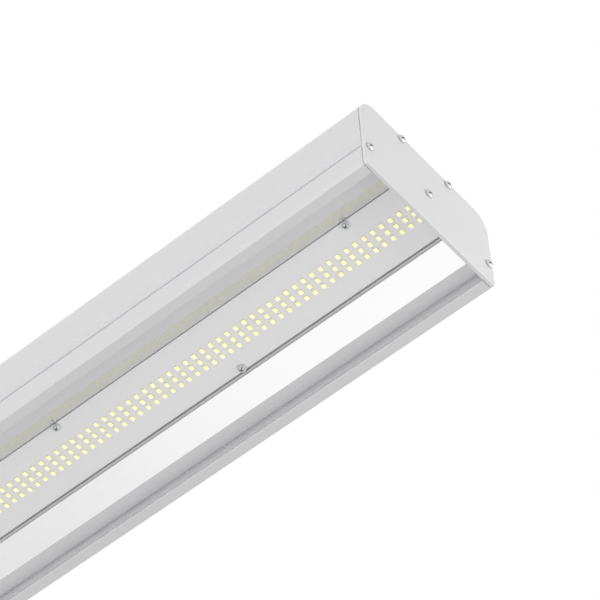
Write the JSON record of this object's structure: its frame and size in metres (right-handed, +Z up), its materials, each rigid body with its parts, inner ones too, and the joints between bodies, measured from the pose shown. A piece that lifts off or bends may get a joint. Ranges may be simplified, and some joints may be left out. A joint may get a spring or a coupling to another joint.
{
  "type": "linear high bay light",
  "caption": "Linear high bay light: an aluminium extrusion with a recessed LED board between sloped reflectors, screwed end plates, gear inside and a top slot to hang it.",
  "frame": {"origin": "mid-length and mid-width, on the plane of the two rims that face the floor when the light hangs", "axes": "+X along the light towards the end with the cable gland, +Y across it, +Z up from the lit face to the suspension slot"},
  "size_m": [0.5944, 0.127, 0.092],
  "materials": {
    "housing_aluminium": "satin anodised extrusion with fine lengthwise drawing lines",
    "end_plate_aluminium": "satin anodised plate",
    "reflector_aluminium": "bright satin strip",
    "board_white": "white solder mask on an aluminium board",
    "led_white": "white moulded package",
    "led_phosphor": "pale yellow phosphor fill",
    "thermal_rubber": "soft grey pad",
    "zinc_steel": "bright zinc plated",
    "tray_steel": "galvanised sheet",
    "driver_aluminium": "plain drawn case",
    "cap_plastic": "black moulded",
    "circuit_green": "green circuit board",
    "transformer_ferrite": "dark ferrite core",
    "capacitor_sleeve": "dark sleeve",
    "terminal_plastic": "white moulded",
    "tag_brass": "tinned edge",
    "lead_brown": "insulation",
    "lead_blue": "insulation",
    "lead_green": "green insulation with a yellow stripe",
    "lead_red": "insulation",
    "lead_black": "insulation",
    "black_rubber": "moulded rubber",
    "connector_plastic": "white moulded",
    "gland_plastic": "light grey moulded",
    "nut_steel": "bright zinc plated"
  },
  "bodies": {
    "root": {"housing": "housing_aluminium", "end_plate_front": "end_plate_aluminium", "end_plate_rear": "end_plate_aluminium", "led_board": "board_white", "thermal_pad": "thermal_rubber", "reflector_left": "reflector_aluminium", "reflector_right": "reflector_aluminium", "led_packages": "led_white", "led_phosphors": "led_phosphor", "end_screws_front": "zinc_steel", "end_screws_rear": "zinc_steel", "board_washers": "zinc_steel", "board_screws": "zinc_steel", "gear_tray": "tray_steel", "driver_case": "driver_aluminium", "driver_cap_mains": "cap_plastic", "driver_cap_output": "cap_plastic", "driver_circuit": "circuit_green", "driver_transformer": "transformer_ferrite", "driver_capacitors": "capacitor_sleeve", "terminal_block": "terminal_plastic", "terminal_screws": "zinc_steel", "driver_screws": "zinc_steel", "terminal_block_screws": "zinc_steel", "earth_screw": "zinc_steel", "earth_tag": "tag_brass", "live_lead": "lead_brown", "neutral_lead": "lead_blue", "earth_lead": "lead_green", "positive_lead": "lead_red", "negative_lead": "lead_black", "web_grommet": "black_rubber", "tray_grommet": "black_rubber", "board_connector": "connector_plastic", "gland_body": "gland_plastic", "gland_seal": "black_rubber", "gland_washer": "black_rubber", "gland_locknut": "gland_plastic", "gland_dome_nut": "gland_plastic", "suspension_nut_front": "nut_steel", "suspension_nut_rear": "nut_steel"}
  },
  "joints": []
}
